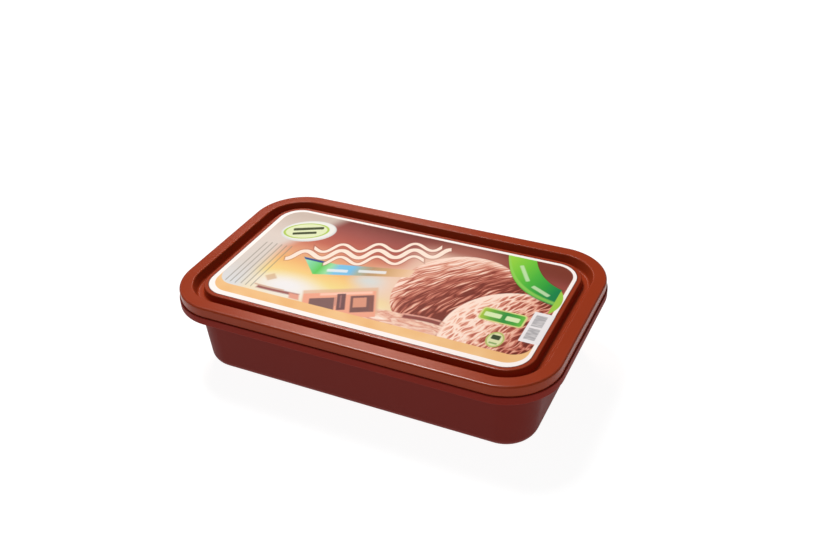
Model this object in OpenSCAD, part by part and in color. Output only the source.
// A shut ice cream tub: a filled plastic tub, its press-on lid and the printed label on the lid.
// The origin is the middle of the base, +X along the tub's length and +Z up.
// Every piece follows one rounded rectangle, so each is one outline swept round the same
// four corner centres. An outline is a list of [distance out from a corner centre, height].

/* [Overall] */
// Length over the tub's flange
tub_length = 179; // [150:1:230]
// Width over the tub's flange
tub_width = 105; // [85:1:150]
// Height from the table to the top of the lid's rim
tub_height = 41; // [32:1:90]
// Corner radius of the flange, seen from above
corner_radius = 24.5; // [23:0.5:34]

/* [Tub] */
// Height of the flange's outer face
flange_height = 3.8; // [3:0.1:8]
// Thickness of the flange, which is open underneath
flange_wall = 1; // [0.8:0.1:1.4]
// How far the flange stands out from the top of the wall
flange_overhang = 7.8; // [6:0.1:9.4]
// How far the wall leans in between the flange and the base
wall_lean = 2.3; // [1:0.1:4]
// Radius where the wall turns into the base
base_radius = 5; // [2:0.5:6]
// Width of the flat ring that the tub stands on
foot_width = 2.4; // [1:0.1:3]
// How far the middle of the base is raised inside that ring
base_lift = 0.5; // [0.2:0.1:0.6]

/* [Lid] */
// Thickness of the lid's plastic
lid_wall = 1; // [0.8:0.1:1.2]
// How far the lid's skirt is set back from the flange
skirt_setback = 0.6; // [0.2:0.1:1.2]
// Height of the lid's skirt
skirt_height = 4.4; // [3.6:0.1:7]
// Width of the rim, from the face of the skirt to its inner edge
rim_width = 6; // [5:0.1:7.2]
// Radius on the rim's outer edge
rim_edge_radius = 0.9; // [0.4:0.1:1.2]
// Depth of the groove inside the rim
groove_depth = 4.5; // [3.6:0.1:5.4]
// How far the groove's outer side leans in
groove_lean = 1.4; // [0.5:0.1:2]
// Width of the groove's floor
groove_floor = 3; // [2.4:0.1:4]
// How far the middle panel lies below the rim
panel_drop = 0.8; // [0.2:0.1:1.5]
// How far the panel's side leans in
panel_lean = 0.5; // [0.2:0.1:1]
// Radius on the groove's upper edges
soft_edge_radius = 0.5; // [0.2:0.05:0.6]

/* [Label] */
// Plain plastic left showing round the label
label_margin = 1.8; // [1:0.1:3]
// Thickness of the label, which lies flush in the panel
label_thickness = 0.3; // [0.2:0.05:0.5]

/* [Fits] */
// Clearance between the lid's upright walls and the tub
side_clearance = 0.1; // [0.05:0.05:0.2]
// Open line between the lid's skirt and the flange
seam_gap = 0.3; // [0.1:0.05:0.6]
// Clearance round the edge of the label
label_clearance = 0.05; // [0.02:0.01:0.1]

/* [Hidden] */
$fn = 96;

arc_steps = 6;

// Half sizes of the rectangle that joins the corner centres
half_x = tub_length / 2 - corner_radius;
half_y = tub_width / 2 - corner_radius;

// Heights above the table
rim_z = tub_height;
rim_under_z = rim_z - lid_wall;
skirt_z = rim_z - skirt_height;
ledge_z = skirt_z - seam_gap;
flange_z = ledge_z - flange_height;
groove_z = rim_z - groove_depth;
groove_under_z = groove_z - lid_wall;
panel_z = rim_z - panel_drop;
label_z = panel_z - label_thickness;
panel_under_z = label_z - lid_wall;
shoulder_z = min(ledge_z, groove_under_z) - flange_wall;

// Distances out from the corner centres, from the flange inwards
flange_out = corner_radius;
flange_in = flange_out - flange_wall;
skirt_out = flange_out - skirt_setback;
skirt_in = skirt_out - lid_wall;
rim_in = skirt_out - rim_width;
groove_foot = rim_in - groove_lean;
panel_foot = groove_foot - groove_floor;
panel_out = panel_foot - panel_lean;
label_out = panel_out - label_margin;
wall_top_out = flange_out - flange_overhang;
wall_base_out = wall_top_out - wall_lean;
foot_in = wall_base_out - base_radius - foot_width;

// Angle between the wall and upright
wall_angle = atan(wall_lean / (shoulder_z - base_radius));

// Points of an arc from one angle to another
function arc(centre, radius, from, to) =
    [for (i = [0:arc_steps])
        let (a = from + (to - from) * i / arc_steps)
        centre + radius * [cos(a), sin(a)]];

// Sweeps an outline round the four corners and along the four sides
module swept(outline) {
    for (turn = [0:3]) {
        along = turn % 2 == 0 ? half_x : half_y;
        across = turn % 2 == 0 ? half_y : half_x;
        rotate([0, 0, 90 * turn]) translate([along, across, 0]) {
            rotate_extrude(angle = 90) polygon(outline);
            rotate([90, 0, 0]) linear_extrude(2 * across) polygon(outline);
        }
    }
}

// The block inside the corner centres, which an outline that starts at 0 leaves open
module middle(low, high) {
    translate([-half_x, -half_y, low])
        cube([2 * half_x, 2 * half_y, high - low]);
}

// A flat plate with rounded corners, reaching a given distance out from the corner centres
module plate(out, low, high) {
    swept([[0, low], [out, low], [out, high], [0, high]]);
    middle(low, high);
}

// The filled tub, solid up to the underside of the lid, with its standing ring and flange
module tub() {
    outline = concat(
        [[0, base_lift], [foot_in - base_lift, base_lift], [foot_in, 0]],
        arc([wall_base_out - base_radius, base_radius], base_radius, -90, -wall_angle),
        [
            [wall_top_out, shoulder_z],
            [flange_in, shoulder_z],
            [flange_in, flange_z],
            [flange_out, flange_z],
            [flange_out, ledge_z],
            [skirt_in - side_clearance, ledge_z],
            [skirt_in - side_clearance, rim_under_z],
            [rim_in + lid_wall + side_clearance, rim_under_z],
            [groove_foot + lid_wall + side_clearance, groove_under_z],
            [panel_foot - lid_wall - side_clearance, groove_under_z],
            [panel_out - lid_wall - side_clearance, panel_under_z],
            [0, panel_under_z]
        ]);
    color("#6b2a22") {
        swept(outline);
        middle(base_lift, panel_under_z);
    }
}

// The press-on lid: skirt, rim, groove and middle panel in one even thickness
module lid() {
    outline = concat(
        [[skirt_in, skirt_z], [skirt_out, skirt_z]],
        arc([skirt_out - rim_edge_radius, rim_z - rim_edge_radius], rim_edge_radius, 0, 90),
        arc([rim_in + soft_edge_radius, rim_z - soft_edge_radius], soft_edge_radius, 90, 165),
        [[groove_foot, groove_z], [panel_foot, groove_z]],
        arc([panel_out - soft_edge_radius, panel_z - soft_edge_radius], soft_edge_radius, 10, 90),
        [
            [0, panel_z],
            [0, panel_under_z],
            [panel_out - lid_wall, panel_under_z],
            [panel_foot - lid_wall, groove_under_z],
            [groove_foot + lid_wall, groove_under_z],
            [rim_in + lid_wall, rim_under_z],
            [skirt_in, rim_under_z]
        ]);
    color("#9a4a34")
        difference() {
            union() {
                swept(outline);
                middle(panel_under_z, panel_z);
            }
            plate(label_out + label_clearance, label_z, rim_z);
        }
}

// The printed label, flush in the lid's panel
module label() {
    color("#efe6da") plate(label_out, label_z, panel_z);
}

tub();
lid();
label();
